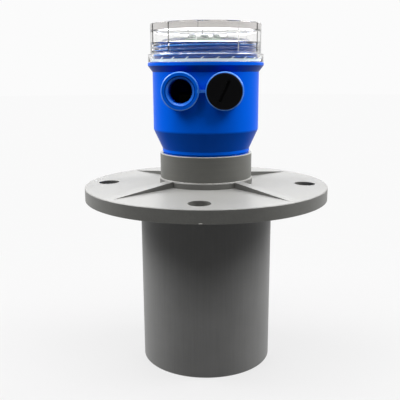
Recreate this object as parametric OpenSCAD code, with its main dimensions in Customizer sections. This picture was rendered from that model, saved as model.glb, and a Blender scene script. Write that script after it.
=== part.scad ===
// Radar level transmitter with a flanged antenna can, for the top of a tank or a stilling well.
// The origin is on the axis at the foot of the can, +Z is up and the cable entries face -Y.
// The transmitter hangs from its round flange: the horn antenna looks down through the can, and the
// electronics sit above it in a round housing under a clear screw lid.

/* [Antenna can] */
// Outside diameter of the antenna can, a plastic pipe of the 110 size
can_d = 109.2; // [104:0.1:116]
// Wall of the antenna can
can_wall = 3.2; // [2.4:0.1:4.2]
// Length of the can below the flange
can_h = 139.3; // [125:0.1:220]

/* [Radome] */
// Thickness of the radome plate
radome_t = 6; // [4:0.5:9]
// How far the plate is set back from the foot of the can
radome_inset = 1; // [0.5:0.1:3]
// Diameter of the lens bulge on the plate
lens_d = 76; // [60:1:80]
// Height of the lens bulge
lens_h = 8; // [5:0.5:12]

/* [Horn antenna] */
// Inside diameter of the horn at its mouth
horn_mouth_d = 84; // [82:0.5:90]
// Length of the flared part of the horn
horn_l = 100; // [80:1:108]
// Wall of the horn
horn_wall = 2; // [1.5:0.1:3]
// Height of the ring that centres the horn in the can
ring_h = 10; // [8:0.5:16]
// Thickness of the ledge under the rim of the horn
ring_ledge_t = 3; // [2:0.5:5]
// Bore of the round waveguide
guide_bore = 8; // [7:0.5:9]
// Wall of the waveguide tube
guide_wall = 3; // [2:0.1:3.5]
// Depth of the sockets that hold the waveguide tube
guide_socket = 8; // [6:0.5:12]
// Length of the dielectric cone that fills the horn's throat
feed_l = 24; // [18:1:32]

/* [Mounting flange] */
// Outside diameter of the mounting flange
flange_d = 200; // [196:1:220]
// Thickness of the flange at its rim
flange_t = 10.5; // [8:0.5:14]
// How much the top of the flange climbs from the rim to the hub
flange_rise = 1.5; // [0.5:0.1:3]
// Diameter of the hub
hub_d = 76.8; // [76:0.1:82]
// Height of the hub above the rim of the flange
hub_h = 6.2; // [5:0.1:10]
// Distance from the rim of the flange to the circle through the bolt holes
bolt_edge = 18; // [14:0.5:22]
// Diameter of each bolt hole
bolt_hole_d = 17; // [14:0.5:18.5]
// Number of bolt holes, and of ribs between them
bolt_count = 4; // [3:1:6]
// Thickness of each rib
rib_t = 8; // [5:0.5:10]
// How far the ribs run out before the rim
rib_end_gap = 4; // [2:0.5:10]
// Height of the ring under the flange that locates the can
spigot_h = 8; // [5:0.5:12]
// Wall of the ring under the flange
spigot_wall = 4; // [3:0.5:6]
// Depth of the groove in the flange that takes the end of the can
can_groove = 3; // [2:0.5:5]
// How much the end of the can is turned down to enter the groove
can_step = 0.8; // [0.6:0.1:1.2]
// Length of the turned end that stays below the flange
can_relief = 0.5; // [0.3:0.1:1]

/* [Collar] */
// Outside diameter of the collar
collar_d = 75.2; // [74:0.1:76]
// Height of the collar above the hub
collar_h = 20.6; // [18:0.1:30]
// Diameter of the collar's spigot, which is welded into the hub
collar_spigot_d = 66; // [65:0.5:68]
// Depth of the recess at the top of the collar
collar_recess = 6; // [4:0.5:9]
// Core diameter of the thread in the collar, M60 x 2
collar_bore_d = 60.2; // [59:0.1:61]

/* [Housing] */
// Diameter of the threaded nipple under the housing, M60
nipple_d = 59.6; // [58:0.1:60]
// Bore through the nipple
nipple_bore = 48; // [40:1:50]
// How far the nipple stops above the lower end of the collar
nipple_end_gap = 3; // [2:0.5:8]
// Diameter of the neck that stands in the collar's recess
neck_d = 69.4; // [68:0.1:69.8]
// Thickness of the flat gasket under the neck
gasket_t = 1.5; // [1:0.1:2.5]
// Gap seen between the collar and the bead of the housing
bead_gap = 1; // [0.6:0.1:2]
// Diameter of the bead above the gap
bead_d = 71.2; // [70.4:0.1:73]
// Height of the bead
bead_h = 2.6; // [1.5:0.1:4]
// Height of the tapered part
taper_h = 15.2; // [12:0.1:22]
// Diameter of the straight part
body_d = 85.2; // [84:0.1:88]
// Height of the straight part
body_h = 45.3; // [44:0.1:60]
// Wall of the housing
wall = 3; // [2.4:0.1:3.6]
// Thickness of the floor inside
floor_t = 3.8; // [3:0.1:6]
// Diameter of the rim that the lid closes on
rim_d = 92.6; // [92:0.1:96]
// Height of the slope under the rim
rim_slope_h = 4.8; // [3.5:0.1:7]
// Height of the straight edge of the rim
rim_h = 2.3; // [1.5:0.1:4]
// Diameter of the neck that carries the lid's thread, at the root of the thread
land_d = 81.6; // [81:0.1:82.4]
// Height of that neck
land_h = 14.4; // [12:0.1:20]
// Bore of that neck
land_bore = 74.8; // [73:0.1:75.6]
// How far the ledge for the cover stands in from the bore
ledge_w = 4.4; // [3.6:0.1:6]
// Thickness of that ledge at its edge
ledge_t = 4; // [3:0.5:6]

/* [Cable entries] */
// Distance between the two entries
entry_pitch = 33; // [31:0.5:36]
// Height of the entries above the tapered part
entry_up = 31.4; // [26:0.1:36]
// Distance from the axis to the face of the entries
entry_reach = 47; // [45:0.5:52]
// Outside diameter of each boss
boss_d = 28.5; // [27.5:0.1:29.5]
// Radius of the boss's outer edge
boss_edge_r = 1; // [0.5:0.1:1.8]
// Core diameter of the thread in each entry, M20 x 1.5
entry_bore = 18.4; // [18:0.1:19]
// Diameter of the countersunk mouth
entry_mouth_d = 22.3; // [21:0.1:23]
// Length of the thread
entry_len = 17; // [14:0.5:19]
// Wall around the thread inside the housing
entry_wall = 3; // [2:0.1:4]
// Thickness of the web between the bosses
web_t = 2.2; // [1.5:0.1:4]
// How far the web stands back from the face of the bosses
web_back = 2; // [1:0.1:4]

/* [Blanking plug] */
// Diameter of the plug's head
plug_head_d = 26.4; // [25:0.1:27]
// Thickness of the plug's head
plug_head_t = 3; // [2.4:0.1:5]
// Outside diameter of the plug's thread, drawn at its core
plug_shank_d = 17.8; // [16:0.1:17.8]
// Length of the plug's thread
plug_shank_l = 9; // [6:0.5:12]
// Inside diameter of the plug's wall
plug_inner_d = 13; // [10:0.5:14]
// Width of the screwdriver slot
slot_w = 2; // [1.2:0.1:3]
// Length of the screwdriver slot
slot_l = 17; // [12:0.5:20]
// Depth of the screwdriver slot
slot_deep = 1.6; // [1:0.1:2]
// Angle at which the slot has come to rest
slot_turn = 65; // [0:1:180]
// Thickness of the plug's O-ring
plug_ring_t = 1.2; // [0.8:0.1:1.5]

/* [Lid] */
// Diameter of the lid's skirt
skirt_d = 91.8; // [91:0.1:94]
// Height of the skirt
skirt_h = 6.1; // [5:0.1:9]
// Diameter of the lid above the skirt
lid_d = 88; // [87.2:0.1:89]
// Height of the lid
lid_h = 29.3; // [28.5:0.1:40]
// Thickness of the lid's top, without the pads
lid_top_t = 4.6; // [3:0.1:6]
// Inside diameter of the lid at the root of its thread
lid_bore = 83.6; // [83.2:0.1:84.2]
// Inside diameter of the lid above the thread
lid_window_d = 81.2; // [78:0.1:82]
// Inside diameter of the pocket for the seal
pocket_d = 89.2; // [88.4:0.1:89.6]
// Depth of the pocket for the seal
pocket_h = 4; // [3.8:0.1:5]
// Height of the seal's ring, without its lugs
seal_h = 2.3; // [1.6:0.1:2.5]
// Number of slanted lugs on the seal
lug_count = 24; // [12:1:30]
// Height of each lug
lug_h = 1.3; // [0.6:0.1:1.3]
// Width of each lug
lug_w = 0.9; // [0.5:0.1:1.2]
// How far the top of each lug leans past its foot
lug_lean = 2; // [0:0.1:2.5]
// Number of finger flutes around the lid
flute_count = 12; // [8:1:14]
// Depth of each flute
flute_deep = 0.6; // [0.3:0.1:1]
// Angle that one flute spans
flute_span = 13.5; // [8:0.5:18]
// Angle that the first flute is turned past the front
flute_turn = 1; // [-10:0.5:10]
// How far the pads between the flutes rise above the lid's top
crown_h = 0.6; // [0.2:0.1:1]
// Width of the top of each pad
crown_w = 2; // [1:0.1:4]
// Bevel at the top edge of the pads
lid_bevel = 0.6; // [0.3:0.1:1]

/* [Electronics] */
// Diameter of the microwave module
rf_d = 52; // [50:1:54]
// Height of the microwave module
rf_h = 16; // [12:0.5:17]
// Diameter of the module's waveguide socket
rf_socket_d = 28; // [22:1:36]
// Length of the module's waveguide socket below the floor
rf_socket_l = 8; // [4:0.5:12]
// Diameter of the main board
board_d = 72; // [66:1:75]
// Thickness of both boards
board_t = 1.6; // [1:0.1:2.4]
// Height of the posts under the main board
post_h = 6; // [4:0.5:8]
// Distance of the posts from the axis
post_at = 21; // [18:0.5:22]
// Length of the terminal block
block_l = 45; // [36:1:50]
// Depth of the terminal block
block_w = 13; // [11:0.5:14]
// Height of the terminal block
block_h = 15; // [12:0.5:18]
// Distance from the axis to the front of the terminal block
block_at = 5; // [3:0.5:7]
// Number of terminals
pole_count = 6; // [3:1:8]
// Width of the ribbon cable
ribbon_w = 14; // [10:1:18]
// Thickness of the ribbon cable
ribbon_t = 0.8; // [0.6:0.1:1.2]
// Distance from the axis to the ribbon cable
ribbon_at = 23.6; // [22.5:0.1:25]
// How far the ribbon cable steps back below
ribbon_step = 3.4; // [2:0.1:4]

/* [Display] */
// Thickness of the cover over the electronics
cover_t = 4; // [3:0.5:6]
// Height of the posts that carry the display board
display_post_h = 0.9; // [0.6:0.1:2]
// Height of the raised rim around the display board
cover_rim_h = 3.4; // [2:0.1:5]
// Thickness of the raised rim
cover_rim_t = 1.2; // [0.8:0.1:2]
// Width of the gap in the rim, in front of the keys
cover_gap_w = 26; // [24:1:32]
// Width across the straight sides of the display board
display_w = 52; // [50:1:54]
// Diameter across the round corners of the display board
display_d = 66; // [64:1:70]
// Width of the liquid-crystal display
lcd_w = 40; // [34:1:44]
// Depth of the liquid-crystal display
lcd_deep = 24; // [20:1:26]
// Height of the liquid-crystal display
lcd_h = 2.8; // [2.2:0.1:4]
// Width of the frame around the display's glass
lcd_frame_w = 2.5; // [1.5:0.1:4]
// Distance from the axis to the middle of the display, towards the back
lcd_at = 5; // [3:0.5:6]
// Number of keys
key_count = 3; // [3:1:3]
// Distance between the keys
key_pitch = 9; // [7.5:0.5:9.5]
// Distance from the axis to the keys, towards the front
key_at = 17; // [15:0.5:18]
// Width of the body of each key switch
switch_w = 6; // [5:0.1:7]
// Height of the body of each key switch
switch_h = 1.6; // [1.2:0.1:2.4]
// Diameter of each key's stem
key_stem_d = 3.4; // [2.4:0.1:3.8]
// Diameter of each key's cap
key_cap_d = 6; // [5:0.1:7]
// Thickness of each key's cap
key_cap_t = 1.6; // [1:0.1:2.4]
// How far a key goes down
key_travel = 0.5; // [0.3:0.1:0.8]

/* [Fits] */
// Gap of a joint that is welded with solvent
weld_gap = 0.1; // [0.05:0.05:0.2]
// Gap between pieces that are put together and stay
fit_gap = 0.2; // [0.1:0.05:0.3]
// Gap between pieces that move against each other
move_gap = 0.3; // [0.2:0.05:0.4]

/* [Hidden] */
$fn = 96;

// How far a cut runs past the face that it opens
past = 1;
// Bevels on turned edges, and the steps of a small arc
edge = 0.5;
edge_small = 0.3;
arc_steps = 6;

// Heights from the foot of the can upwards
z_flange = can_h;
z_rim_top = z_flange + flange_t;
z_hub = z_rim_top + hub_h;
z_collar = z_hub + collar_h;
z_recess = z_collar - collar_recess;
z_neck = z_recess + gasket_t;
z_bead = z_collar + bead_gap;
z_taper = z_bead + bead_h;
z_body = z_taper + taper_h;
z_slope = z_body + body_h;
z_edge = z_slope + rim_slope_h;
z_seat = z_edge + rim_h;
z_land = z_seat + land_h;
z_lid = z_seat + move_gap;
z_lid_top = z_lid + lid_h;
z_lid_face = z_lid_top - crown_h;
z_window = z_lid_face - lid_top_t;

// Radii of the can and of what stands in it
can_r = can_d / 2;
can_in_r = can_r - can_wall;
radome_r = can_in_r - weld_gap;
z_radome = radome_inset + radome_t;
z_horn = z_radome + ring_ledge_t;
horn_mouth_r = horn_mouth_d / 2;
horn_out_r = horn_mouth_r + horn_wall;
guide_r = guide_bore / 2 + guide_wall;
throat_r = guide_bore / 2;
socket_r = guide_r + horn_wall + horn_wall;
z_can_top = z_flange + can_groove - weld_gap;
z_throat = z_horn + horn_l;
z_horn_top = z_throat + guide_socket;

// The front is at -90 degrees, and a rib stands half a step on from each bolt hole
front = -90;
half_step = 180 / bolt_count;

// Radii of the flange, the hub and the collar
flange_r = flange_d / 2;
bolt_circle_r = flange_r - bolt_edge;
hub_r = hub_d / 2;
collar_r = collar_d / 2;
collar_spigot_r = collar_spigot_d / 2;
hub_bore_r = collar_spigot_r + weld_gap;
spigot_r = can_in_r - weld_gap;
z_cone = z_rim_top + flange_rise;
collar_foot_gap = 3;
z_collar_foot = z_flange + collar_foot_gap;
z_nipple = z_collar_foot + nipple_end_gap;
recess_r = neck_d / 2 + fit_gap;

// Inside of the housing
body_r = body_d / 2;
body_in_r = body_r - wall;
rim_r = rim_d / 2;
land_r = land_d / 2;
land_in_r = land_bore / 2;
floor_r = bead_d / 2 - wall;
z_floor = z_taper + floor_t;
z_cover = z_land - cover_t - fit_gap;
ledge_r = land_in_r - ledge_w;
z_ledge = z_cover - ledge_t;
z_entry = z_body + entry_up;
boss_r = boss_d / 2;
entry_r = entry_bore / 2;
entry_cone = (entry_mouth_d - entry_bore) / 2;
entry_end = entry_reach - entry_len;

// The O-ring lies on the countersink, and the plug's head on the O-ring
ring_r = plug_shank_d / 2 + fit_gap + plug_ring_t / 2;
ring_at = entry_reach - entry_mouth_d / 2 + ring_r + (plug_ring_t / 2 + fit_gap) * sqrt(2);
plug_head_at = max(ring_at + plug_ring_t / 2 + fit_gap, entry_reach + move_gap);

// Electronics
z_rf_top = z_floor + rf_h;
z_guide_top = z_floor - rf_socket_l + guide_socket / 2;
z_board = z_rf_top + post_h;
z_board_top = z_board + board_t;
screw_head_r = 2.4;
screw_head_h = 1.8;
post_r = 3;
post_turn = 90;
post_count = 3;
pole_margin = 3;
terminal_screw_r = 2.1;
terminal_screw_deep = 2.5;
wire_gate = 3.2;
wire_gate_up = 3;
ear_at = rf_d / 2 + screw_head_r + fit_gap;
ear_r = 3.4;
ear_t = 3;
ear_count = 3;
ear_turn = 30;
ear_screw_deep = 3;
socket_w = ribbon_w + 3;
socket_deep = 5;
socket_h = 6;
socket_slot = 1.2;
ribbon_low_at = ribbon_at + ribbon_step;
coil_w = 16;
coil_h = 12;
cap_r = 5;
cap_h = 14;
cap_at = [[-29, 4], [29, 4]];
coil_at = [0, -9];

// Display
z_display = z_cover + cover_t + display_post_h;
z_display_top = z_display + board_t;
z_lcd = z_display_top + lcd_h;
lcd_glass_t = 1.1;
lcd_bevel = 0.6;
display_screw_at = 29;
display_post_r = 2.8;
cover_r = land_in_r - fit_gap;
screw_hole_r = 1.3;
cover_screw_at = cover_r - screw_head_r;
z_switch = z_display_top + switch_h;
key_well_r = key_stem_d / 2 + move_gap;
z_key_stem = z_display_top + key_travel + move_gap;
z_key_cap = z_switch + key_travel + move_gap;

// Lid
skirt_r = skirt_d / 2;
lid_r = lid_d / 2;
flute_r = lid_r - flute_deep;
crown_in_r = lid_r - lid_bevel - crown_w - crown_h;
lid_bore_r = lid_bore / 2;
lid_window_r = lid_window_d / 2;
pocket_r = pocket_d / 2;
z_skirt = z_lid + skirt_h;
z_pocket = z_lid + pocket_h;
z_shoulder = z_land + move_gap + edge;
groove_deep = 1;
groove_h = 0.5;
seal_in_r = lid_bore_r + move_gap;
lug_inset = 0.1;
seal_r = pocket_r - move_gap - lug_inset;

function arc(c, r, a0, a1) = [
    for (i = [0 : arc_steps])
        let (a = a0 + (a1 - a0) * i / arc_steps) [c[0] + r * cos(a), c[1] + r * sin(a)]
];

// A turned solid from an outline of [radius, height] points
module turned(outline) {
    rotate_extrude() polygon(outline);
}

// A plain ring between two heights
module ring(r_out, r_in, z0, z1) {
    turned([[r_in, z0], [r_out, z0], [r_out, z1], [r_in, z1]]);
}

// A round bar or hole between two heights, standing at x, y
module bar(r, z0, z1, x = 0, y = 0) {
    translate([x, y, z0]) cylinder(r = r, h = z1 - z0);
}

// A box centred on x, y between two heights
module block(w, d, z0, z1, x = 0, y = 0) {
    translate([x - w / 2, y - d / 2, z0]) cube([w, d, z1 - z0]);
}

// Copies of a shape, evenly around the axis
module around(count, turn = 0) {
    for (i = [0 : count - 1]) rotate(turn + 360 * i / count) children();
}

// A pan-head screw whose shank goes down from the height z
module screw(x, y, z, shank_r, shank_l) {
    translate([x, y, 0]) difference() {
        union() {
            bar(screw_head_r, z, z + screw_head_h);
            bar(shank_r, z - shank_l, z);
        }
        block(2 * screw_head_r + past, 0.8, z + screw_head_h / 2, z + screw_head_h + past);
    }
}

// ---- Antenna ----

// Plastic pipe with its lower end slightly rounded
module antenna_can() {
    color([0.36, 0.36, 0.35])
    turned(concat(
        [[can_in_r, 0], [can_r - edge, 0]],
        arc([can_r - edge, edge], edge, -90, 0),
        [
            [can_r, z_flange - can_relief], [can_r - can_step, z_flange - can_relief],
            [can_r - can_step, z_can_top], [can_in_r, z_can_top]
        ]
    ));
}

// Plate that closes the can, with a lens that bulges upwards
module radome() {
    lens_r = lens_d / 2;
    sag_r = (lens_r * lens_r + lens_h * lens_h) / (2 * lens_h);
    half = asin(lens_r / sag_r);
    color([0.93, 0.93, 0.9])
    turned(concat(
        [[0, radome_inset], [radome_r, radome_inset], [radome_r, z_radome]],
        [for (p = arc([0, z_radome + lens_h - sag_r], sag_r, 90 - half, 90)) [max(p[0], 0), p[1]]]
    ));
}

// Foam ring that stands on the radome and centres the mouth of the horn
module horn_ring() {
    color([0.2, 0.2, 0.22])
    turned([
        [lens_d / 2 + fit_gap, z_radome], [can_in_r - fit_gap, z_radome],
        [can_in_r - fit_gap, z_radome + ring_h], [horn_out_r + fit_gap, z_radome + ring_h],
        [horn_out_r + fit_gap, z_horn], [lens_d / 2 + fit_gap, z_horn]
    ]);
}

// Conical horn with a socket for the waveguide at its top
module horn_antenna() {
    color([0.78, 0.79, 0.8])
    turned([
        [horn_mouth_r, z_horn], [horn_out_r, z_horn], [horn_out_r, z_horn + horn_wall],
        [socket_r, z_throat], [socket_r, z_horn_top], [guide_r + weld_gap, z_horn_top],
        [guide_r + weld_gap, z_throat], [throat_r, z_throat]
    ]);
}

// Dielectric cone in the throat, with its stem in the waveguide
module feed_cone() {
    stem_r = throat_r - weld_gap;
    cone_l = feed_l - guide_socket;
    color([0.95, 0.95, 0.93])
    turned([
        [0, z_throat - cone_l], [stem_r, z_throat], [stem_r, z_throat + guide_socket], [0, z_horn_top]
    ]);
}

// Round waveguide from the horn up to the microwave module
module waveguide() {
    color([0.8, 0.68, 0.42])
    ring(guide_r, throat_r, z_throat, z_guide_top);
}

// ---- Flange and collar ----

// One rib: a wedge that falls from the top of the hub towards the rim
module rib() {
    rib_end = flange_r - rib_end_gap;
    rotate([90, 0, 0])
    translate([0, 0, -rib_t / 2])
    linear_extrude(rib_t)
    polygon([
        [hub_bore_r + past, z_rim_top - past], [rib_end, z_rim_top - past],
        [rib_end, z_rim_top], [hub_r, z_hub], [hub_bore_r + past, z_hub]
    ]);
}

module mounting_flange() {
    color([0.62, 0.62, 0.6])
    difference() {
        union() {
            turned([
                [hub_bore_r, z_flange], [spigot_r - spigot_wall, z_flange],
                [spigot_r - spigot_wall, z_flange - spigot_h], [spigot_r - edge, z_flange - spigot_h],
                [spigot_r, z_flange - spigot_h + edge], [spigot_r, z_flange + can_groove],
                [can_r + weld_gap, z_flange + can_groove], [can_r + weld_gap, z_flange],
                [flange_r - edge_small, z_flange], [flange_r, z_flange + edge_small],
                [flange_r, z_rim_top - edge], [flange_r - edge, z_rim_top],
                [hub_r, z_cone], [hub_r, z_hub - edge], [hub_r - edge, z_hub], [hub_bore_r, z_hub]
            ]);
            around(bolt_count, front + half_step) rib();
        }
        around(bolt_count, front) bar(bolt_hole_d / 2, z_flange - past, z_cone + past, bolt_circle_r);
    }
}

// Ring welded into the hub, with the thread that carries the housing
module collar() {
    color([0.4, 0.4, 0.38])
    turned([
        [collar_bore_d / 2, z_collar_foot], [collar_spigot_r - edge, z_collar_foot],
        [collar_spigot_r, z_collar_foot + edge], [collar_spigot_r, z_hub],
        [collar_r - edge_small, z_hub], [collar_r, z_hub + edge_small],
        [collar_r, z_collar - edge_small], [collar_r - edge_small, z_collar],
        [recess_r + edge, z_collar], [recess_r, z_collar - edge],
        [recess_r, z_recess], [collar_bore_d / 2, z_recess]
    ]);
}

module neck_gasket() {
    color([0.08, 0.08, 0.08])
    ring(neck_d / 2, collar_bore_d / 2 + fit_gap, z_recess, z_neck);
}

// ---- Housing ----

module housing_outside() {
    turned([
        [0, z_nipple], [nipple_d / 2 - edge, z_nipple], [nipple_d / 2, z_nipple + edge],
        [nipple_d / 2, z_neck], [neck_d / 2, z_neck], [neck_d / 2, z_bead],
        [bead_d / 2 - edge_small, z_bead], [bead_d / 2, z_bead + edge_small],
        [bead_d / 2, z_taper], [body_r - edge_small, z_body - edge], [body_r, z_body + edge],
        [body_r, z_slope], [rim_r - edge_small, z_edge - edge_small], [rim_r, z_edge],
        [rim_r, z_seat - edge_small], [rim_r - edge_small, z_seat], [land_r, z_seat],
        [land_r, z_land - edge], [land_r - edge, z_land], [0, z_land]
    ]);
}

module housing_inside() {
    shoulder = body_in_r - land_in_r;
    turned([
        [0, z_nipple - past], [nipple_bore / 2, z_nipple - past], [nipple_bore / 2, z_floor],
        [floor_r, z_floor], [body_in_r, z_floor + taper_h], [body_in_r, z_slope],
        [land_in_r, z_slope + shoulder], [land_in_r, z_ledge - ledge_w], [ledge_r, z_ledge],
        [ledge_r, z_cover], [land_in_r, z_cover], [land_in_r, z_land + past], [0, z_land + past]
    ]);
}

// Shapes drawn for an entry along +Z are laid over, to point along -Y at x
module at_entry(x) {
    translate([x, 0, z_entry]) rotate([90, 0, 0]) children();
}

module boss() {
    turned(concat(
        [[0, body_r / 2], [boss_r, body_r / 2]],
        arc([boss_r - boss_edge_r, entry_reach - boss_edge_r], boss_edge_r, 0, 90),
        [[0, entry_reach]]
    ));
}

module entry_hole() {
    turned([
        [0, entry_end - past], [entry_r, entry_end - past], [entry_r, entry_reach - entry_cone],
        [entry_r + entry_cone + past, entry_reach + past], [0, entry_reach + past]
    ]);
}

module web() {
    block(entry_pitch - boss_r, entry_reach - web_back - body_r / 2, z_entry - web_t / 2, z_entry + web_t / 2,
        0, -(entry_reach - web_back + body_r / 2) / 2);
}

module housing() {
    entries = [-entry_pitch / 2, entry_pitch / 2];
    color([0.0, 0.32, 0.8])
    difference() {
        union() {
            difference() {
                union() {
                    housing_outside();
                    for (x = entries) at_entry(x) boss();
                    web();
                }
                housing_inside();
            }
            for (x = entries) at_entry(x) bar(entry_r + entry_wall, entry_end, body_in_r + past / 2);
        }
        for (x = entries) at_entry(x) entry_hole();
        around(2, 0) bar(screw_hole_r, z_ledge + edge, z_cover + past, cover_screw_at);
        around(ear_count, ear_turn) bar(screw_hole_r, z_floor - ear_screw_deep, z_floor + past, ear_at);
    }
}

// ---- Blanking plug ----

module blanking_plug() {
    shank_end = entry_reach - plug_shank_l;
    shank_r = plug_shank_d / 2;
    head_r = plug_head_d / 2;
    head_top = plug_head_at + plug_head_t;
    color([0.07, 0.07, 0.08])
    at_entry(entry_pitch / 2)
    difference() {
        turned(concat(
            [[0, shank_end], [shank_r - edge, shank_end], [shank_r, shank_end + edge]],
            [[shank_r, plug_head_at], [head_r, plug_head_at]],
            arc([head_r - boss_edge_r, head_top - boss_edge_r], boss_edge_r, 0, 90),
            [[0, head_top]]
        ));
        bar(plug_inner_d / 2, shank_end - past, plug_head_at);
        rotate(slot_turn) block(slot_l, slot_w, head_top - slot_deep, head_top + past);
    }
}

// O-ring that lies in the mouth of the entry, under the head of the plug
module plug_oring() {
    color([0.05, 0.05, 0.05])
    at_entry(entry_pitch / 2)
    rotate_extrude() translate([ring_r, ring_at]) circle(d = plug_ring_t);
}

// ---- Lid ----

module lid_outline() {
    polygon([
        [pocket_r, z_lid], [skirt_r - edge_small, z_lid], [skirt_r, z_lid + edge_small],
        [skirt_r, z_skirt - edge], [skirt_r - edge, z_skirt], [lid_r - groove_deep, z_skirt],
        [lid_r - groove_deep, z_skirt + groove_h], [lid_r, z_skirt + 2 * groove_h],
        [lid_r, z_lid_top - lid_bevel], [lid_r - lid_bevel, z_lid_top],
        [lid_r - lid_bevel - crown_w, z_lid_top], [crown_in_r, z_lid_face], [0, z_lid_face],
        [0, z_window], [lid_window_r - edge, z_window], [lid_window_r, z_window - edge],
        [lid_window_r, z_shoulder], [lid_bore_r, z_shoulder - edge], [lid_bore_r, z_pocket],
        [pocket_r, z_pocket]
    ]);
}

module lid() {
    color([0.85, 0.92, 0.95, 0.35])
    difference() {
        rotate_extrude() lid_outline();
        around(flute_count, front + flute_turn - flute_span / 2)
        rotate_extrude(angle = flute_span)
        polygon([
            [flute_r, z_skirt + 2 * groove_h], [lid_r + past, z_skirt + 2 * groove_h],
            [lid_r + past, z_lid_top + past], [crown_in_r, z_lid_top + past],
            [crown_in_r, z_lid_face], [flute_r - crown_h, z_lid_face], [flute_r, z_lid_face - crown_h]
        ]);
    }
}

// One slanted lug, on the outer edge of the seal
module seal_lug() {
    foot = -(lug_w + lug_lean) / 2;
    translate([seal_r - lug_w, 0, z_lid + seal_h])
    rotate([90, 0, 90])
    linear_extrude(lug_w)
    polygon([
        [foot, -edge], [foot + lug_w, -edge], [foot + lug_w, 0],
        [foot + lug_w + lug_lean, lug_h], [foot + lug_lean, lug_h], [foot, 0]
    ]);
}

// White silicone ring in the pocket of the lid, with lugs that lean against the pocket
module lid_seal() {
    color([0.9, 0.94, 0.95]) {
        turned([
            [seal_in_r, z_lid], [seal_r + lug_inset - edge_small, z_lid],
            [seal_r + lug_inset, z_lid + edge_small], [seal_r + lug_inset, z_lid + seal_h],
            [seal_in_r, z_lid + seal_h]
        ]);
        around(lug_count, front) seal_lug();
    }
}

// ---- Electronics ----

// Sealed module on the floor of the housing, with the waveguide's upper socket
module rf_module() {
    z_socket = z_floor - rf_socket_l;
    color([0.72, 0.73, 0.75])
    difference() {
        union() {
            turned([
                [0, z_socket], [rf_socket_d / 2, z_socket], [rf_socket_d / 2, z_floor],
                [rf_d / 2, z_floor], [rf_d / 2, z_rf_top - edge], [rf_d / 2 - edge, z_rf_top], [0, z_rf_top]
            ]);
            around(ear_count, ear_turn) {
                bar(ear_r, z_floor, z_floor + ear_t, ear_at);
                block(2 * ear_r, 2 * ear_r, z_floor, z_floor + ear_t, ear_at - ear_r);
            }
        }
        bar(guide_r + weld_gap, z_socket - past, z_guide_top);
        around(ear_count, ear_turn)
        bar(screw_hole_r + fit_gap, z_floor - past, z_floor + ear_t + past, ear_at);
        around(post_count, post_turn) bar(screw_hole_r, z_rf_top - ear_t, z_rf_top + past, post_at);
    }
}

module rf_screws() {
    shank_l = ear_t + ear_screw_deep - edge;
    color([0.75, 0.75, 0.77])
    around(ear_count, ear_turn) screw(ear_at, 0, z_floor + ear_t, screw_hole_r - fit_gap, shank_l);
}

module board_posts() {
    color([0.8, 0.66, 0.35])
    around(post_count, post_turn) translate([post_at, 0, 0]) difference() {
        bar(post_r, z_rf_top, z_board);
        bar(screw_hole_r, z_rf_top - past, z_board + past);
    }
}

module main_board() {
    color([0.05, 0.35, 0.16])
    difference() {
        bar(board_d / 2, z_board, z_board_top);
        around(post_count, post_turn)
        bar(screw_hole_r + fit_gap, z_board - past, z_board_top + past, post_at);
    }
}

module board_screws() {
    color([0.75, 0.75, 0.77])
    around(post_count, post_turn)
    screw(post_at, 0, z_board_top, screw_hole_r - fit_gap, board_t + post_h / 2);
}

// Plug connector between the microwave module and the main board
module board_connector() {
    color([0.1, 0.1, 0.1])
    block(coil_w, socket_deep, z_rf_top, z_board, coil_at[0], coil_at[1]);
}

module terminal_block() {
    pole = (block_l - 2 * pole_margin) / pole_count;
    z_top = z_board_top + block_h;
    y_mid = block_at + block_w / 2;
    color([0.12, 0.42, 0.2])
    difference() {
        block(block_l, block_w, z_board_top, z_top, 0, y_mid);
        for (i = [0 : pole_count - 1]) {
            x = -block_l / 2 + pole_margin + pole * (i + 0.5);
            bar(terminal_screw_r + fit_gap, z_top - terminal_screw_deep, z_top + past, x, y_mid);
            block(wire_gate, block_w, z_board_top + wire_gate_up, z_board_top + wire_gate_up + wire_gate,
                x, y_mid - block_w / 2);
        }
    }
}

module terminal_screws() {
    pole = (block_l - 2 * pole_margin) / pole_count;
    z_top = z_board_top + block_h;
    color([0.78, 0.78, 0.8])
    for (i = [0 : pole_count - 1]) {
        x = -block_l / 2 + pole_margin + pole * (i + 0.5);
        translate([x, block_at + block_w / 2, 0]) difference() {
            bar(terminal_screw_r, z_top - terminal_screw_deep, z_top - edge);
            block(2 * terminal_screw_r + past, edge, z_top - 2 * edge, z_top);
        }
    }
}

module capacitors() {
    color([0.15, 0.15, 0.35])
    for (p = cap_at) bar(cap_r, z_board_top, z_board_top + cap_h, p[0], p[1]);
}

module power_coil() {
    color([0.25, 0.25, 0.27])
    block(coil_w, coil_w, z_board_top, z_board_top + coil_h, coil_at[0], coil_at[1] + past);
}

// Flat cable from the socket on the main board up to the display board
module ribbon_cable() {
    z_low = z_board_top + socket_h - socket_slot;
    z_bend = z_ledge - coil_h;
    h = ribbon_t / 2;
    color([0.7, 0.7, 0.72])
    translate([-ribbon_w / 2, 0, 0])
    rotate([90, 0, 90])
    linear_extrude(ribbon_w)
    polygon([
        [ribbon_low_at - h, z_low], [ribbon_low_at + h, z_low], [ribbon_low_at + h, z_bend + h],
        [ribbon_at + h, z_bend + ribbon_step + h], [ribbon_at + h, z_display],
        [ribbon_at - h, z_display], [ribbon_at - h, z_bend + ribbon_step - h], [ribbon_low_at - h, z_bend - h]
    ]);
}

module ribbon_socket() {
    z_top = z_board_top + socket_h;
    color([0.9, 0.9, 0.86])
    difference() {
        block(socket_w, socket_deep, z_board_top, z_top, 0, ribbon_low_at);
        block(ribbon_w + fit_gap, ribbon_t + fit_gap, z_top - socket_slot, z_top + past, 0, ribbon_low_at);
    }
}

// ---- Cover and display ----

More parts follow.
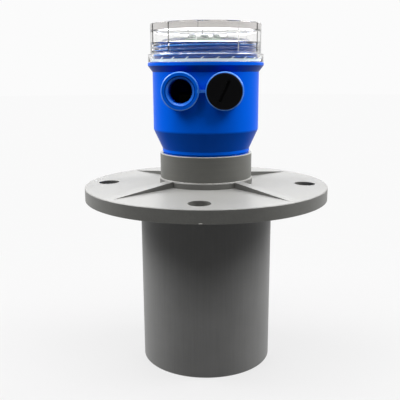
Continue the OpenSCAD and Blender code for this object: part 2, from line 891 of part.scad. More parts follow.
// Low wall around the display board, open at the keys and cut clear of the cover's own screws
module cover_rim() {
    rim_in_r = display_d / 2 + fit_gap + fit_gap;
    z_rim = z_cover + cover_t + cover_rim_h;
    difference() {
        ring(rim_in_r + cover_rim_t, rim_in_r, z_cover + edge, z_rim);
        block(cover_gap_w, display_d, z_cover + cover_t, z_rim + past, 0, -display_d / 2);
        around(2, 0) bar(screw_head_r + move_gap, z_cover + cover_t, z_rim + past, cover_screw_at);
    }
}

module electronics_cover() {
    z_top = z_cover + cover_t;
    slot_y = ribbon_at;
    color([0.82, 0.83, 0.84])
    difference() {
        union() {
            turned([
                [0, z_cover], [cover_r, z_cover], [cover_r, z_top - edge], [cover_r - edge, z_top], [0, z_top]
            ]);
            cover_rim();
            around(4, 45) bar(display_post_r, z_cover + edge, z_display, display_screw_at);
        }
        block(ribbon_w + past, ribbon_t + past, z_cover - past, z_top + past, 0, slot_y);
        around(2, 0) bar(screw_hole_r + fit_gap, z_cover - past, z_top + past, cover_screw_at);
        around(4, 45) bar(screw_hole_r, z_cover + past, z_display + past, display_screw_at);
    }
}

module cover_screws() {
    color([0.75, 0.75, 0.77])
    around(2, 0) screw(cover_screw_at, 0, z_cover + cover_t, screw_hole_r - fit_gap, cover_t + ledge_t / 2);
}

module display_board() {
    color([0.05, 0.45, 0.2])
    difference() {
        intersection() {
            bar(display_d / 2, z_display, z_display_top);
            block(display_w, display_w, z_display - past, z_display_top + past);
        }
        around(4, 45) bar(screw_hole_r + fit_gap, z_display - past, z_display_top + past, display_screw_at);
    }
}

module display_screws() {
    color([0.75, 0.75, 0.77])
    around(4, 45) screw(display_screw_at, 0, z_display_top, screw_hole_r - fit_gap, board_t + cover_t / 2);
}

module lcd_frame() {
    z_low = z_lcd - lcd_glass_t - lcd_bevel;
    trim = 2 * lcd_frame_w;
    color([0.7, 0.71, 0.73])
    difference() {
        block(lcd_w, lcd_deep, z_display_top, z_lcd, 0, lcd_at);
        block(lcd_w - trim, lcd_deep - trim, z_low, z_lcd + past, 0, lcd_at);
    }
}

module lcd_glass() {
    z_low = z_lcd - lcd_glass_t - lcd_bevel;
    trim = 2 * (lcd_frame_w + weld_gap);
    color([0.35, 0.42, 0.34])
    block(lcd_w - trim, lcd_deep - trim, z_low, z_low + lcd_glass_t, 0, lcd_at);
}

module key_switches() {
    color([0.14, 0.14, 0.15])
    for (i = [-1 : 1]) difference() {
        block(switch_w, switch_w, z_display_top, z_switch, i * key_pitch, -key_at);
        bar(key_well_r, z_display_top - past, z_switch + past, i * key_pitch, -key_at);
    }
}

// A key: a cap on a stem that slides in its switch
module key(x) {
    color([0.88, 0.88, 0.87])
    translate([x, -key_at, 0])
    turned([
        [0, z_key_stem], [key_stem_d / 2, z_key_stem], [key_stem_d / 2, z_key_cap],
        [key_cap_d / 2, z_key_cap], [key_cap_d / 2, z_key_cap + key_cap_t - edge_small],
        [key_cap_d / 2 - edge_small, z_key_cap + key_cap_t], [0, z_key_cap + key_cap_t]
    ]);
}

module key_left() { key(-key_pitch); }
module key_middle() { key(0); }
module key_right() { key(key_pitch); }

antenna_can();
radome();
horn_ring();
horn_antenna();
feed_cone();
waveguide();
mounting_flange();
collar();
neck_gasket();
housing();
blanking_plug();
plug_oring();
lid();
lid_seal();
rf_module();
rf_screws();
board_posts();
main_board();
board_screws();
board_connector();
terminal_block();
terminal_screws();
capacitors();
power_coil();
ribbon_cable();
ribbon_socket();
electronics_cover();
cover_screws();
display_board();
display_screws();
lcd_frame();
lcd_glass();
key_switches();
key_left();
key_middle();
key_right();
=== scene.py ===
import math

import bmesh
import bpy
from mathutils import Matrix, Vector


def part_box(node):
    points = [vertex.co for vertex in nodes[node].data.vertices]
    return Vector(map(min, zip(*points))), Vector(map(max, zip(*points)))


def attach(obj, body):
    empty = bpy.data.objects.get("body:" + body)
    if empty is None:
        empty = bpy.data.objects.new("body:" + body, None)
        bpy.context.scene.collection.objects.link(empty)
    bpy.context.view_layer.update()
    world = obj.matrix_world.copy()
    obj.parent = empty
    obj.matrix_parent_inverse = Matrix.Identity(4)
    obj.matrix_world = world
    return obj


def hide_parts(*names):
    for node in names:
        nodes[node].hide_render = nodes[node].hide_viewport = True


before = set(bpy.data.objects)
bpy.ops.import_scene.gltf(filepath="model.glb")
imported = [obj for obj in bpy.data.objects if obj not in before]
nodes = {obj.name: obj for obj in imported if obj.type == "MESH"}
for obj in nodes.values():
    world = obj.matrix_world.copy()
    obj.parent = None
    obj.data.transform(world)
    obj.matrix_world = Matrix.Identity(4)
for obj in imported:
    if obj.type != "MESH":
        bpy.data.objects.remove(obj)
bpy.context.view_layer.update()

MM = 0.001
FULL_TURN = 2 * math.pi
FRONT_DARK = 0.85
SOFT_DARK = 0.5


# ---- Shader maths ----

class Value:
    """The output of a shader node. Arithmetic on it adds Math nodes."""

    def __init__(self, shading, socket):
        self.shading = shading
        self.socket = socket

    def math(self, operation, *inputs):
        return self.shading.node("ShaderNodeMath", {"operation": operation}, dict(enumerate(inputs)))

    def __add__(self, other):
        return self.math("ADD", self, other)

    def __radd__(self, other):
        return self.math("ADD", other, self)

    def __sub__(self, other):
        return self.math("SUBTRACT", self, other)

    def __rsub__(self, other):
        return self.math("SUBTRACT", other, self)

    def __mul__(self, other):
        return self.math("MULTIPLY", self, other)

    def __rmul__(self, other):
        return self.math("MULTIPLY", other, self)

    def __pow__(self, other):
        return self.math("POWER", self, other)

    def size(self):
        """The number without its sign."""
        return self.math("ABSOLUTE", self)

    def clamped(self):
        return self.math("MINIMUM", self.math("MAXIMUM", self, 0.0), 1.0)

    def step(self, low, high):
        """0 below low, 1 above high, and smooth between them."""
        return self.shading.node(
            "ShaderNodeMapRange",
            {"interpolation_type": "SMOOTHSTEP"},
            {"Value": self, "From Min": low, "From Max": high, "To Min": 0.0, "To Max": 1.0},
        )

    def band(self, rise, fall):
        """0 below rise, 1 between the two ranges, and 0 above fall."""
        return self.step(*rise) * (1 - self.step(*fall))


class Shading:
    """A tree of shader nodes."""

    def __init__(self, tree):
        self.tree = tree

    def node(self, kind, settings, inputs, output=0):
        """Adds a node: its settings come first, then the values or links of its sockets."""
        made = self.tree.nodes.new(kind)
        for key, value in settings.items():
            setattr(made, key, value)
        for key, value in inputs.items():
            self.feed(made.inputs[key], value)
        return Value(self, made.outputs[output])

    def feed(self, socket, value):
        if isinstance(value, Value):
            self.tree.links.new(value.socket, socket)
        elif isinstance(value, (tuple, list)) and len(socket.default_value) == 4:
            socket.default_value = (*value, 1.0)[:4]
        else:
            socket.default_value = value

    def place(self):
        """Object coordinates, in metres."""
        return self.node("ShaderNodeTexCoord", {}, {}, "Object")

    def parts(self, vector):
        """The X, Y and Z of a vector."""
        return [self.node("ShaderNodeSeparateXYZ", {}, {"Vector": vector}, axis) for axis in "XYZ"]

    def facing(self):
        """The X, Y and Z of the surface's normal."""
        return self.parts(self.node("ShaderNodeNewGeometry", {}, {}, "Normal"))

    def stretched(self, scale):
        """Object coordinates for marks that run along the axes with a low scale."""
        return self.node("ShaderNodeMapping", {}, {"Vector": self.place(), "Scale": scale})

    def noise(self, size, detail=3.0, where=None):
        """Noise with grains of about this size in metres, around 0.5."""
        inputs = {"Vector": where or self.place(), "Scale": 1 / size, "Detail": detail}
        return self.node("ShaderNodeTexNoise", {}, inputs)

    def mix(self, factor, first, second):
        """Mixes two colours."""
        return self.node("ShaderNodeMix", {"data_type": "RGBA"}, {"Factor": factor, 6: first, 7: second}, 2)

    def bump(self, height, distance, normal=None):
        """The normal of a surface with this height, 0 to 1, over a distance in metres."""
        inputs = {"Distance": distance, "Height": height}
        if normal:
            inputs["Normal"] = normal
        return self.node("ShaderNodeBump", {}, inputs)

    def seen(self, towards_front):
        """1 for rays that show the backdrop: to the camera, through clear plastic, and glossy ones away
        from the front, where the studio is dark. Rays that light a soft surface through clear plastic see
        half of it."""
        kinds = ("Is Camera Ray", "Is Glossy Ray", "Is Transmission Ray", "Diffuse Depth")
        camera, glossy, through, soft = [self.node("ShaderNodeLightPath", {}, {}, kind) for kind in kinds]
        return (camera + glossy * (1 - towards_front * FRONT_DARK) + through - soft * SOFT_DARK).clamped()


class Finish(Shading):
    """A node material around one Principled shader."""

    def __init__(self, name, **constants):
        self.material = bpy.data.materials.new(name)
        self.material.use_nodes = True
        super().__init__(self.material.node_tree)
        self.shader = self.tree.nodes["Principled BSDF"]
        for socket, value in constants.items():
            self.set(socket.replace("_", " "), value)

    def set(self, name, value):
        self.feed(self.shader.inputs[name], value)


def shade(colour, factor):
    return tuple(channel * factor for channel in colour)


# ---- Finishes ----

ALONG_PIPE = (1.0, 1.0, 0.03)
AROUND = (0.05, 0.05, 1.0)
ENTRY_X = 16.5
NECK_R = 40.8
neck_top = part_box("housing")[1].z / MM
plug_low, plug_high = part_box("blanking_plug")
entry_z = (plug_low.z + plug_high.z) / 2 / MM


def moulded(name, colour, rough, grain=0.0004, grain_depth=0.00002, spread=0.08, **constants):
    """A moulded plastic: faint mottling, a fine grain and a roughness that wanders."""
    finish = Finish(name, **constants)
    cloud = finish.noise(0.018, 2.0)
    speck = finish.noise(grain, 2.0)
    tone = (cloud * 0.7 + speck * 0.3).clamped()
    finish.set("Base Color", finish.mix(tone, shade(colour, 1 - spread), shade(colour, 1 + spread)))
    finish.set("Roughness", (cloud - 0.5) * 0.12 + rough)
    finish.set("Normal", finish.bump(speck, grain_depth))
    return finish.material


# Ranges over which a mark on the housing sets in and ends, in metres: radii about an entry's axis,
# half sizes of the web, and places along Y.
BOSS_EDGE = ((0.0132, 0.0136), (0.0143, 0.0146))
BOSS_FACE = (-0.0463, -0.0458)
MOUTH_CONE = ((0.0090, 0.0093), (0.0104, 0.0107))
MOUTH_FACE = (-0.0446, -0.0442)
MOUTH_LINE = ((0.0107, 0.0109), (0.0113, 0.0115))
WEB_HALF_WIDTH = (0.0034, 0.0042)
WEB_HALF_HEIGHT = (0.0010, 0.0014)
WEB_FACE = (-0.0444, -0.0440)
# A painted shadow line round the mouths of the entries.
SHADOW_LINE_BLUE = (0.0, 0.02, 0.16)
# A painted highlight on the rounded edges of the bosses, the mouth cones and the web.
HIGHLIGHT_BLUE = (0.07, 0.34, 1.0)


def housing_blue(name, colour, rough):
    """The housing's moulded plastic: glossier on the rounded edges of the bosses and their web, with a
    painted highlight there and in the mouths of the entries, a painted shadow line round each mouth, and
    painted shade on its downward faces."""
    finish = Finish(name, Specular_IOR_Level=0.03, Coat_Roughness=0.12)
    cloud = finish.noise(0.018, 2.0)
    speck = finish.noise(0.0004, 2.0)
    x, y, z = finish.parts(finish.place())
    sideways = x.size()
    upwards = z - entry_z * MM
    radius = ((sideways - ENTRY_X * MM) ** 2.0 + upwards ** 2.0) ** 0.5
    on_face = 1 - y.step(*BOSS_FACE)
    in_mouth = 1 - y.step(*MOUTH_FACE)
    on_web = (1 - sideways.step(*WEB_HALF_WIDTH)) * (1 - upwards.size().step(*WEB_HALF_HEIGHT))
    rounded_edge = radius.band(*BOSS_EDGE) * on_face
    mouth = radius.band(*MOUTH_CONE) * in_mouth
    # The dark ring round each mouth is a painted shadow line.
    mouth_shadow_line = radius.band(*MOUTH_LINE) * on_face
    web_edge = on_web * (1 - y.step(*WEB_FACE))
    # Paler blue on the bosses' rounded edges, the mouth cones and the web's front edge is a painted
    # highlight; the coat there is real gloss.
    painted_highlight = (rounded_edge + mouth * 0.6 + web_edge).clamped()
    tone = (cloud * 0.7 + speck * 0.3).clamped()
    plain = finish.mix(tone, shade(colour, 0.95), shade(colour, 1.05))
    # Faces that point down are painted darker: painted shade.
    under_shade = 1 - finish.facing()[2].step(-0.55, -0.15)
    plain = finish.mix(under_shade * 0.75, plain, shade(colour, 0.3))
    with_shadow_line = finish.mix(mouth_shadow_line * 0.75, plain, SHADOW_LINE_BLUE)
    finish.set("Base Color", finish.mix(painted_highlight * 0.75, with_shadow_line, HIGHLIGHT_BLUE))
    finish.set("Coat Weight", painted_highlight)
    finish.set("Roughness", (cloud - 0.5) * 0.12 + rough)
    finish.set("Normal", finish.bump(speck, 0.00002))
    return finish.material


def thread_blue(name, root, crest, rough):
    """The neck's thread: painted shade in its roots and at its ends, a painted shadow line at its top, and a
    painted highlight on patches of its crests.
    """
    finish = Finish(name, Specular_IOR_Level=0.05)
    x, y, z = finish.parts(finish.place())
    radius = (x * x + y * y) ** 0.5
    patch = finish.noise(0.006, 2.0, where=finish.stretched(AROUND))
    # Paler crests, in patches, are a painted highlight.
    painted_highlight = radius.step((NECK_R + 0.25) * MM, (NECK_R + 0.65) * MM) * patch.step(0.35, 0.6)
    # A near-black band along the top of the neck is a painted shadow line.
    top_shadow_line = z.step((neck_top - 1.0) * MM, (neck_top - 0.7) * MM)
    colour = finish.mix(painted_highlight, root, crest)
    finish.set("Base Color", finish.mix(top_shadow_line * 0.8, colour, (0.01, 0.012, 0.03)))
    finish.set("Roughness", patch * 0.1 + rough)
    return finish.material


def machined_pvc(name, colour, rough, lay, upright_shade=None, highlight_edge=None):
    """Grey pipe plastic. lay stretches its marks: along the pipe or around the turned faces. A colour for the
    upright faces, if given, paints them darker as shade, and a top edge height, if given, paints a paler band
    there as a highlight."""
    finish = Finish(name)
    cloud = finish.noise(0.03, 3.0)
    streak = finish.noise(0.0016, 3.0, where=finish.stretched(lay))
    speck = finish.noise(0.0005, 2.0)
    tone = (cloud * 0.5 + streak * 0.3 + speck * 0.2).clamped()
    plain = finish.mix(tone, shade(colour, 0.7), shade(colour, 1.3))
    # Upright faces take a darker colour: painted shade.
    if upright_shade:
        level = finish.facing()[2].size().step(0.3, 0.8)
        plain = finish.mix(level, finish.mix(tone, shade(upright_shade, 0.6), shade(upright_shade, 1.4)), plain)
    # A paler band at the top edge: a painted highlight.
    if highlight_edge:
        height = finish.parts(finish.place())[2]
        plain = finish.mix(height.step(highlight_edge - 0.0007, highlight_edge - 0.0003) * 0.8, plain, shade(colour, 4.0))
    finish.set("Base Color", plain)
    finish.set("Roughness", (cloud - 0.5) * 0.16 + (streak - 0.5) * 0.1 + rough)
    finish.set("Specular IOR Level", 0.3)
    fine = finish.bump(speck, 0.00003)
    finish.set("Normal", finish.bump(streak, 0.00003, normal=fine))
    return finish.material


def clear_plastic():
    """Clear polycarbonate, which takes up light as it runs through its thickness."""
    white = (1.0, 1.0, 1.0)
    finish = Finish("clear_plastic", Base_Color=white, Roughness=0.0, IOR=1.46, Transmission_Weight=1.0)
    finish.set("Normal", finish.bump(finish.noise(0.006, 1.0), 0.00002))
    tint = finish.node("ShaderNodeVolumeAbsorption", {}, {"Color": (0.46, 0.42, 0.39), "Density": 11.0})
    finish.feed(finish.tree.nodes["Material Output"].inputs["Volume"], tint)
    return finish.material


def metal(name, colour, rough, grain):
    """Metal with fine marks along its grain."""
    finish = Finish(name, Metallic=1.0)
    streak = finish.noise(0.0006, 3.0, where=finish.stretched(grain))
    finish.set("Base Color", finish.mix(streak, shade(colour, 0.85), shade(colour, 1.08)))
    finish.set("Roughness", (streak - 0.5) * 0.2 + rough)
    finish.set("Normal", finish.bump(streak, 0.00001))
    return finish.material


LAMINATE = (0.42, 0.62, 0.45)


def circuit_board(name, mask, track):
    """Solder mask on the faces, with tracks that show through it, and pale laminate on the cut edges."""
    finish = Finish(name, Coat_Weight=0.3)
    flat = finish.facing()[2].size()
    tracks = finish.node(
        "ShaderNodeTexVoronoi", {"feature": "DISTANCE_TO_EDGE"}, {"Vector": finish.place(), "Scale": 260.0}
    )
    faces = finish.mix(tracks.step(0.04, 0.09), track, mask)
    finish.set("Base Color", finish.mix(flat.step(0.4, 0.6), LAMINATE, faces))
    finish.set("Roughness", finish.noise(0.004) * 0.2 + 0.25)
    finish.set("Normal", finish.bump(tracks.step(0.04, 0.09), 0.00003))
    return finish.material


CORE_PITCH = 0.00127


def ribbon():
    """Flat cable with its cores side by side."""
    finish = Finish("ribbon")
    across = finish.parts(finish.place())[0]
    cores = across.math("SINE", across * (FULL_TURN / CORE_PITCH))
    finish.set("Base Color", finish.mix(cores.step(-0.2, 0.6), (0.3, 0.3, 0.31), (0.55, 0.55, 0.56)))
    finish.set("Roughness", finish.noise(0.003) * 0.1 + 0.45)
    finish.set("Normal", finish.bump(cores, 0.0002))
    return finish.material


def blank_display():
    """The display's glass with nothing shown on it."""
    finish = Finish("blank_display", Coat_Weight=1.0)
    cloud = finish.noise(0.02)
    finish.set("Base Color", finish.mix(cloud, (0.27, 0.32, 0.25), (0.32, 0.37, 0.3)))
    finish.set("Roughness", cloud * 0.05 + 0.12)
    return finish.material


BLUE = (0.0, 0.122, 0.82)
PIPE_GREY = (0.195, 0.195, 0.192)
COLLAR_GREY = (0.135, 0.135, 0.124)
FLANGE_GREY = (0.255, 0.253, 0.243)
# The flange's upright faces are painted darker than its top, as shade.
FLANGE_UPRIGHT_SHADE = (0.14, 0.14, 0.131)

finishes = {
    "blue": housing_blue("blue_plastic", BLUE, 0.33),
    # The thread's root colour is a darker blue, painted shade, and its crest colour a paler one, a painted
    # highlight.
    "thread": thread_blue("blue_thread", (0.0, 0.05, 0.3), (0.03, 0.3, 0.95), 0.3),
    "pipe": machined_pvc("grey_pipe", PIPE_GREY, 0.42, ALONG_PIPE),
    "flange": machined_pvc("grey_flange", FLANGE_GREY, 0.4, (1.0, 1.0, 1.0), upright_shade=FLANGE_UPRIGHT_SHADE),
    # The collar's top edge gets a painted highlight.
    "collar": machined_pvc("grey_collar", COLLAR_GREY, 0.42, AROUND, highlight_edge=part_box("collar")[1].z),
    "weld": moulded("weld_bead", (0.3, 0.295, 0.275), 0.35, spread=0.2),
    "clear": clear_plastic(),
    "black": moulded("black_plastic", (0.006, 0.006, 0.0065), 0.3, Specular_IOR_Level=0.05),
    "rubber": moulded("black_rubber", (0.015, 0.015, 0.015), 0.6, grain=0.0008),
    "silicone": moulded("white_silicone", (0.8, 0.92, 1.0), 0.4, spread=0.03, Subsurface_Weight=0.1),
    "white": moulded("pale_plastic", (0.44, 0.445, 0.45), 0.35, spread=0.03),
    "key": moulded("key_plastic", (0.62, 0.63, 0.64), 0.35, spread=0.03),
    "ptfe": moulded("ptfe", (0.85, 0.85, 0.83), 0.45, spread=0.03),
    "foam": moulded("foam", (0.05, 0.05, 0.055), 0.8, grain=0.0012, grain_depth=0.0003),
    "slate": moulded("slate_plastic", (0.008, 0.0085, 0.011), 0.5),
    "sleeve": moulded("dark_sleeve", (0.03, 0.035, 0.12), 0.25, spread=0.04),
    "steel": metal("steel", (0.7, 0.71, 0.73), 0.3, (1.0, 0.05, 1.0)),
    "aluminium": metal("aluminium", (0.78, 0.79, 0.8), 0.32, (0.05, 0.05, 1.0)),
    "brass": metal("brass", (0.72, 0.52, 0.22), 0.28, (0.05, 0.05, 1.0)),
    "board": circuit_board("green_board", (0.02, 0.2, 0.07), (0.05, 0.33, 0.13)),
    "pale_board": circuit_board("pale_board", (0.3, 0.45, 0.31), (0.2, 0.37, 0.23)),
    "ribbon": ribbon(),
    "display": blank_display(),
}

node_finish = {
    "antenna_can": "pipe",
    "mounting_flange": "flange",
    "collar": "collar",
    "housing": "blue",
    "neck_gasket": "rubber",
    "plug_oring": "rubber",
    "blanking_plug": "black",
    "lid_seal": "silicone",
    "radome": "ptfe",
    "feed_cone": "ptfe",
    "horn_ring": "foam",
    "horn_antenna": "aluminium",
    "waveguide": "brass",
    "rf_module": "steel",
    "rf_screws": "steel",
    "board_posts": "brass",
    "main_board": "board",
    "board_screws": "steel",
    "board_connector": "black",
    "terminal_block": "slate",
    "terminal_screws": "steel",
    "capacitors": "sleeve",
    "power_coil": "black",
    "ribbon_cable": "ribbon",
    "ribbon_socket": "white",
    "electronics_cover": "white",
    "cover_screws": "steel",
    "display_board": "pale_board",
    "display_screws": "steel",
    "lcd_frame": "white",
    "lcd_glass": "display",
    "key_switches": "key",
    "key_left": "key",
    "key_middle": "key",
    "key_right": "key",
}
for name, finish in node_finish.items():
    mesh = nodes[name].data
    mesh.materials.clear()
    mesh.materials.append(finishes[finish])


# ---- Turned shapes ----

def filleted(corners, steps=5):
    """The points of an outline of (radius, height, fillet) corners, with an arc at each fillet."""
    points = []
    for i, (r, z, fillet) in enumerate(corners):
        here = Vector((r, z))
        if fillet == 0 or i in (0, len(corners) - 1):
            points.append(here)
            continue
        to_last = (Vector(corners[i - 1][:2]) - here).normalized()
        to_next = (Vector(corners[i + 1][:2]) - here).normalized()
        half = to_last.angle(to_next) / 2
        reach = fillet / math.tan(half)
        centre = here + (to_last + to_next).normalized() * (fillet / math.sin(half))
        start = here + to_last * reach - centre
        turn = start.angle_signed(here + to_next * reach - centre)
        for k in range(steps + 1):
            spun = start.copy()
            spun.rotate(Matrix.Rotation(-turn * k / steps, 2))
            points.append(centre + spun)
    return points


def spun(outline, segments):
    """A bmesh turned around the Z axis from an outline in millimetres."""
    mesh = bmesh.new()
    line = [mesh.verts.new((p[0] * MM, 0.0, p[1] * MM)) for p in outline]
    edges = [mesh.edges.new(pair) for pair in zip(line, line[1:])]
    bmesh.ops.spin(
        mesh,
        geom=line + edges,
        cent=(0, 0, 0),
        axis=(0, 0, 1),
        angle=FULL_TURN,
        steps=segments,
        use_merge=True,
    )
    bmesh.ops.remove_doubles(mesh, verts=mesh.verts, dist=0.000002)
    return mesh


def finished(mesh, name, body, finish, sharp=35):
    """Makes the bmesh a piece that rides on a body, shaded smooth but for its sharp edges."""
    bmesh.ops.recalc_face_normals(mesh, faces=mesh.faces)
    data = bpy.data.meshes.new(name)
    mesh.to_mesh(data)
    mesh.free()
    piece = bpy.data.objects.new(name, data)
    bpy.context.scene.collection.objects.link(piece)
    data.polygons.foreach_set("use_smooth", [True] * len(data.polygons))
    data.set_sharp_from_angle(angle=math.radians(sharp))
    data.materials.append(finishes[finish])
    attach(piece, body)
    return piece


def rows(low, high, spacing):
    """Heights between low and high, evenly spaced."""
    count = max(1, round((high - low) / spacing))
    return [low + (high - low) * i / count for i in range(count + 1)]


def sleeve(radius, back, heights, segments):
    """A thin ring whose face at this radius has a row of points at each height, to carry a thread."""
    face = [(radius, z) for z in heights]
    outline = [(back, heights[0])] + face + [(back, heights[-1])]
    return spun(outline + outline[:1], segments)


def swell(mesh, chosen, height):
    """Moves the points with a chosen radius outwards, by a height that depends on z and the angle."""
    for vert in mesh.verts:
        r = math.hypot(vert.co.x, vert.co.y) / MM
        if chosen(r):
            grown = 1 + height(vert.co.z / MM, math.atan2(vert.co.y, vert.co.x)) / r
            vert.co.x *= grown
            vert.co.y *= grown


def ridge(z, angle, pitch):
    """How high a rounded right-hand thread stands at a height and an angle: 0 at its root, 1 at its crest."""
    return 0.5 + 0.5 * math.cos(FULL_TURN * z / pitch - angle)


def fade(z, low, high, run):
    """1 between low and high, falling to 0 over a run inside each end."""
    return max(0.0, min(1.0, (z - low) / run, (high - z) / run))


# ---- Lid ----

lid_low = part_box("lid")[0].z / MM
lid_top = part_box("lid")[1].z / MM
SKIRT_R = 45.9
LID_R = 44.0
GROOVE_R = 43.95
LID_BORE_R = 41.8
WINDOW_R = 40.6
POCKET_R = 44.6
SKIRT_H = 6.1
SHOULDER_UP = 0.8
POCKET_H = 5.8
TOP_T = 4.6
THREAD_PITCH = 3.0
THREAD_H = 0.7
LID_RIDGE = 0.45
FLUTES = 12
FLUTE_DEG = 13.5
FLUTE_TURN = 0.6
FLUTE_DEEP = 0.6
CROWN_H = 0.6
CROWN_W = 2.0
LID_SEGMENTS = 480
pocket_top = lid_low + POCKET_H
shoulder = neck_top + SHOULDER_UP
thread_low = pocket_top + 0.4
thread_high = shoulder - 0.6


def lid_outline(on_pad):
    """The lid's section through a pad, which rises past the top, or through the flute beside it."""
    skirt_top = lid_low + SKIRT_H
    face = lid_top - CROWN_H
    window = face - TOP_T
    crown_in = LID_R - 0.6 - CROWN_W
    top, wall = (lid_top, LID_R) if on_pad else (lid_top - 0.02, LID_R - FLUTE_DEEP)
    thread = [(LID_BORE_R, z, 0) for z in rows(thread_low, thread_high, THREAD_PITCH / 10)]
    return filleted(
        [
            (0, face, 0),
            (crown_in - CROWN_H, face, 0.1),
            (crown_in, top, 0.2),
            (wall, top, 0.7),
            (wall, skirt_top + 1.1, 0.2),
            (GROOVE_R, skirt_top + 0.5, 0.2),
            (GROOVE_R, skirt_top, 0.2),
            (SKIRT_R, skirt_top, 0.1),
            (SKIRT_R, lid_low, 0.3),
            (POCKET_R, lid_low, 0.3),
            (POCKET_R, pocket_top, 0.3),
            (LID_BORE_R, pocket_top, 0.2),
        ]
        + thread
        + [
            (WINDOW_R, shoulder, 0.3),
            (WINDOW_R, window, 1.6),
            (0, window, 0),
        ]
    )


def clear_lid():
    """The clear moulding: turned with its pads' section, then pressed in at the flutes and at its thread."""
    pad = lid_outline(True)
    flute = lid_outline(False)
    at = {(round(p.x, 3), round(p.y, 3)): i for i, p in enumerate(pad)}
    mesh = spun(pad, LID_SEGMENTS)
    period = math.radians(360 / FLUTES)
    half = math.radians(FLUTE_DEG / 2 - 0.4)
    front = -math.pi / 2
    for vert in mesh.verts:
        r = math.hypot(vert.co.x, vert.co.y) / MM
        z = vert.co.z / MM
        angle = math.atan2(vert.co.y, vert.co.x)
        i = at.get((round(r, 3), round(z, 3)))
        new_r, new_z = r, z
        if abs((angle - front + period / 2) % period - period / 2) < half and i is not None:
            new_r, new_z = flute[i]
        if abs(r - LID_BORE_R) < 0.01 and z < shoulder:
            lift = fade(z, thread_low, thread_high, 1.0)
            new_r = r - LID_RIDGE * lift * (1 - ridge(z, angle, THREAD_PITCH))
        if r > 1:
            vert.co = (vert.co.x * new_r / r, vert.co.y * new_r / r, new_z * MM)
    turn = Matrix.Rotation(math.radians(FLUTE_TURN), 3, "Z")
    bmesh.ops.rotate(mesh, verts=mesh.verts, cent=(0, 0, 0), matrix=turn)
    piece = finished(mesh, "clear_lid", "lid", "clear", sharp=28)
    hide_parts("lid")


clear_lid()


# ---- Threads ----

SLEEVE_T = 0.1


def neck_thread():
    """The ridges of the lid's thread, a sleeve over the housing's neck."""
    low = lid_low - 0.25
    high = neck_top - 0.4
    plain_h = 2.5
    run_out = 1.2

    def height(z, angle):
        return THREAD_H * fade(z, low + plain_h, high, run_out) * ridge(z, angle, THREAD_PITCH)

    mesh = sleeve(NECK_R, NECK_R - SLEEVE_T, rows(low, high, THREAD_PITCH / 10), 256)
    swell(mesh, lambda r: r > NECK_R - SLEEVE_T / 2, height)
    piece = finished(mesh, "neck_thread", "root", "thread", sharp=60)


neck_thread()

ENTRY_R = 9.2
ENTRY_PITCH = 1.5
ENTRY_RIDGE = 0.2
ENTRY_MOUTH = 45.0
ENTRY_INNER = 30.2


def entry_thread():
    """The thread's ridges in the open cable entry."""
    run_out = 0.8

    def height(z, angle):
        return -ENTRY_RIDGE * fade(z, ENTRY_INNER, ENTRY_MOUTH, run_out) * ridge(z, angle, ENTRY_PITCH)

    mesh = sleeve(ENTRY_R, ENTRY_R + SLEEVE_T, rows(ENTRY_INNER, ENTRY_MOUTH, ENTRY_PITCH / 8), 96)
    swell(mesh, lambda r: r < ENTRY_R + SLEEVE_T / 2, height)
    lay_over = Matrix.Translation((-ENTRY_X * MM, 0, entry_z * MM)) @ Matrix.Rotation(math.pi / 2, 4, "X")
    bmesh.ops.transform(mesh, matrix=lay_over, verts=mesh.verts)
    piece = finished(mesh, "entry_thread", "root", "blue", sharp=60)


entry_thread()


# ---- Small marks on the flange ----

COLLAR_R = 37.6
COLLAR_FOOT = 156.0
FLANGE_R = 100.0
FLANGE_LOW = 139.3
WELD_UNEVEN = 0.35
NUB_R = 0.9
NUB_X = 1.9


def collar_weld():
    """The thin bead of solvent weld around the foot of the collar, rougher at the front left."""
    outline = [(COLLAR_R - 0.05, COLLAR_FOOT + 0.02), (COLLAR_R + 0.45, COLLAR_FOOT + 0.02)]
    outline += [(COLLAR_R + 0.32, COLLAR_FOOT + 0.3), (COLLAR_R - 0.05, COLLAR_FOOT + 0.5)]
    mesh = spun(outline + outline[:1], 240)
    for vert in mesh.verts:
        angle = math.atan2(vert.co.y, vert.co.x)
        r = math.hypot(vert.co.x, vert.co.y) / MM
        rough = 0.1 + 0.5 * math.exp(-(((angle + 2.15) / 0.3) ** 2))
        wave = math.sin(23 * angle) * math.sin(41 * angle + 1.0) + math.sin(97 * angle) * 0.4
        if r > COLLAR_R:
            grown = 1 + WELD_UNEVEN * rough * wave / r
            vert.co = (vert.co.x * grown, vert.co.y * grown, vert.co.z)
        if vert.co.z > (COLLAR_FOOT + 0.2) * MM:
            vert.co.z += WELD_UNEVEN * rough * (1 + wave) * MM
    piece = finished(mesh, "collar_weld", "root", "weld", sharp=50)


def moulding_nub():
    """The stub of the moulding gate on the rim of the flange, at the front."""
    mesh = bmesh.new()
    bmesh.ops.create_uvsphere(mesh, u_segments=20, v_segments=12, radius=NUB_R * MM)
    bmesh.ops.scale(mesh, vec=(1.5, 0.6, 0.6), verts=mesh.verts)
    place = Vector((NUB_X, -FLANGE_R, FLANGE_LOW + NUB_R / 2)) * MM
    bmesh.ops.translate(mesh, vec=place, verts=mesh.verts)
    piece = finished(mesh, "moulding_nub", "root", "weld", sharp=80)


collar_weld()
moulding_nub()


# ---- Studio ----

FLOOR_BOUNCE = 0.08
FLOOR_SEEN = (0.43, 0.425, 0.43)
LAMP_AIM = Vector((0, 0, 0.15))


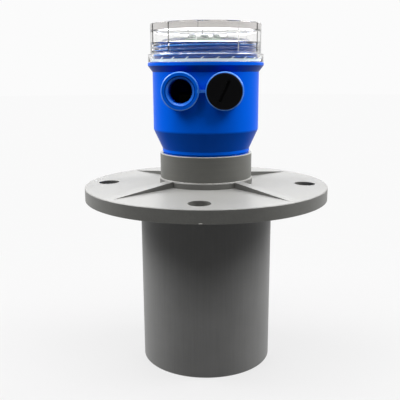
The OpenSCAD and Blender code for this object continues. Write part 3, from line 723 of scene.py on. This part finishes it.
def studio_floor():
    """A pale floor that keeps the shadow near the object and fades to white further off."""
    finish = Finish("floor", Roughness=0.6, Specular_IOR_Level=0.2)
    x, y, _ = finish.parts(finish.place())
    seen = finish.seen(1 - y.step(-1.2, -0.2))
    finish.set("Base Color", finish.mix(seen, (FLOOR_BOUNCE,) * 3, FLOOR_SEEN))
    far = ((x * x + y * y) ** 0.5).step(0.1, 0.4) * 0.25 + 0.75
    glow = finish.node("ShaderNodeEmission", {}, {"Color": (0.95, 0.95, 0.95), "Strength": 1.0})
    shader = Value(finish, finish.shader.outputs[0])
    surface = finish.node("ShaderNodeMixShader", {}, {0: seen * far, 1: shader, 2: glow})
    finish.feed(finish.tree.nodes["Material Output"].inputs["Surface"], surface)
    mesh = bmesh.new()
    bmesh.ops.create_circle(mesh, cap_ends=True, segments=96, radius=6.0)
    data = bpy.data.meshes.new("floor")
    mesh.to_mesh(data)
    mesh.free()
    floor = bpy.data.objects.new("floor", data)
    data.materials.append(finish.material)
    bpy.context.scene.collection.objects.link(floor)


def studio_world(strength):
    """A white backdrop that lights the object only faintly."""
    world = bpy.data.worlds.new("studio")
    world.use_nodes = True
    bpy.context.scene.world = world
    shading = Shading(world.node_tree)
    shading.tree.nodes.clear()
    direction = shading.node("ShaderNodeTexCoord", {}, {}, "Generated")
    seen = shading.seen(1 - shading.parts(direction)[1].step(-0.3, 0.5))
    light = shading.node("ShaderNodeBackground", {}, {"Color": (1.0, 1.0, 1.0), "Strength": strength})
    white = shading.node("ShaderNodeBackground", {}, {"Color": (0.965, 0.965, 0.965), "Strength": 1.0})
    surface = shading.node("ShaderNodeMixShader", {}, {0: seen, 1: light, 2: white})
    shading.feed(shading.tree.nodes.new("ShaderNodeOutputWorld").inputs["Surface"], surface)


def soft_light(name, place, size, power):
    """An area lamp that faces the middle of the object."""
    lamp = bpy.data.lights.new(name, "AREA")
    lamp.shape = "RECTANGLE"
    lamp.size, lamp.size_y = size
    lamp.energy = power
    item = bpy.data.objects.new(name, lamp)
    item.location = place
    item.rotation_euler = (LAMP_AIM - Vector(place)).to_track_quat("-Z", "Y").to_euler()
    bpy.context.scene.collection.objects.link(item)


studio_floor()
studio_world(0.03)
soft_light("overhead", (0.0, -0.1, 1.5), (1.2, 0.8), 13)
soft_light("back", (0.0, 1.3, 1.0), (2.0, 0.8), 14)
soft_light("front_left", (-0.9, -0.6, 1.3), (0.6, 0.6), 11)
soft_light("front_right", (0.9, -0.6, 1.3), (0.6, 0.6), 9)
soft_light("left", (-1.2, 0.25, 1.05), (0.6, 0.8), 19)
soft_light("right", (1.2, 0.25, 1.05), (0.6, 0.8), 19)


# ---- Camera ----

CAMERA_PLACE = (0.02885, -0.50453, 0.24196)
CAMERA_TILT = math.radians(76.438)
CAMERA_TURN = math.radians(3.855)
CAMERA_ROLL = math.radians(-0.258)
camera = bpy.data.cameras.new("camera")
camera.lens = 55.08
camera.sensor_width = 36.0
camera.shift_y = 0.0446
camera.clip_start = 0.01
viewer = bpy.data.objects.new("camera", camera)
viewer.matrix_world = (
    Matrix.Translation(CAMERA_PLACE)
    @ Matrix.Rotation(CAMERA_TURN, 4, "Z")
    @ Matrix.Rotation(CAMERA_TILT, 4, "X")
    @ Matrix.Rotation(CAMERA_ROLL, 4, "Z")
)
bpy.context.scene.collection.objects.link(viewer)
bpy.context.scene.camera = viewer
bpy.context.scene.view_settings.view_transform = "Standard"


def plain(box):
    return [[float(x) for x in corner] for corner in box]
